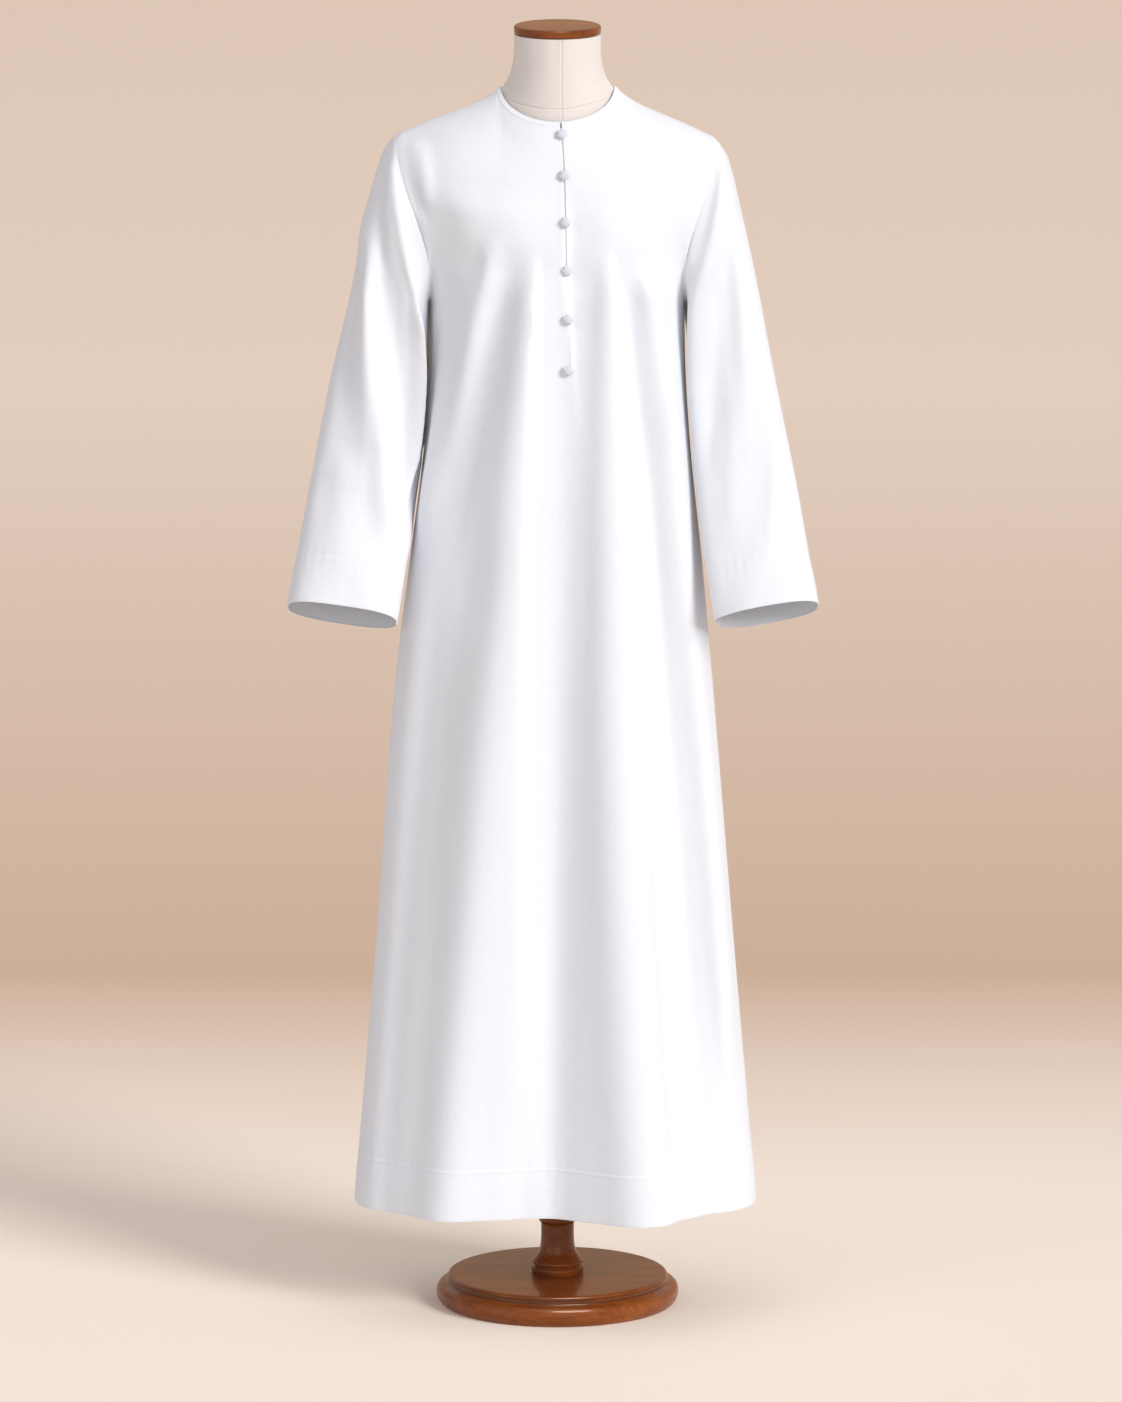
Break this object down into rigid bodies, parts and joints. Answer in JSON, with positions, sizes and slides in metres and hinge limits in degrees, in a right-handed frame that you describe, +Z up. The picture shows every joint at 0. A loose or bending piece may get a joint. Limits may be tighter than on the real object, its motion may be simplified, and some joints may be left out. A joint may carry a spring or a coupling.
{
  "type": "thobe robe on a dress form",
  "caption": "Ankle-length collarless white thobe with long plain-cuffed sleeves and a buttoned chest slit, worn hollow over a limbless linen dress form on a turned wooden foot and round base.",
  "frame": {"origin": "middle of the round base's flat underside, on the surface that it stands on", "axes": "+Z up along the post, -Y out of the robe's front, +X towards the wearer's left"},
  "size_m": [0.689, 0.318, 1.6913],
  "materials": {
    "robe_cloth": "matt white cotton blend, plain weave, softly creased",
    "form_linen": "matt natural linen, coarse plain weave",
    "stand_wood": "reddish-brown stained wood under gloss varnish"
  },
  "bodies": {
    "root": {"front": "robe_cloth", "back": "robe_cloth", "sleeve_left": "robe_cloth", "sleeve_right": "robe_cloth", "neck_binding": "robe_cloth", "front_underlap": "robe_cloth", "button_1": "robe_cloth", "button_2": "robe_cloth", "button_3": "robe_cloth", "button_4": "robe_cloth", "button_5": "robe_cloth", "button_6": "robe_cloth", "form_body": "form_linen", "neck_cap": "stand_wood", "post": "stand_wood", "post_foot": "stand_wood", "base_plate": "stand_wood"}
  },
  "joints": []
}
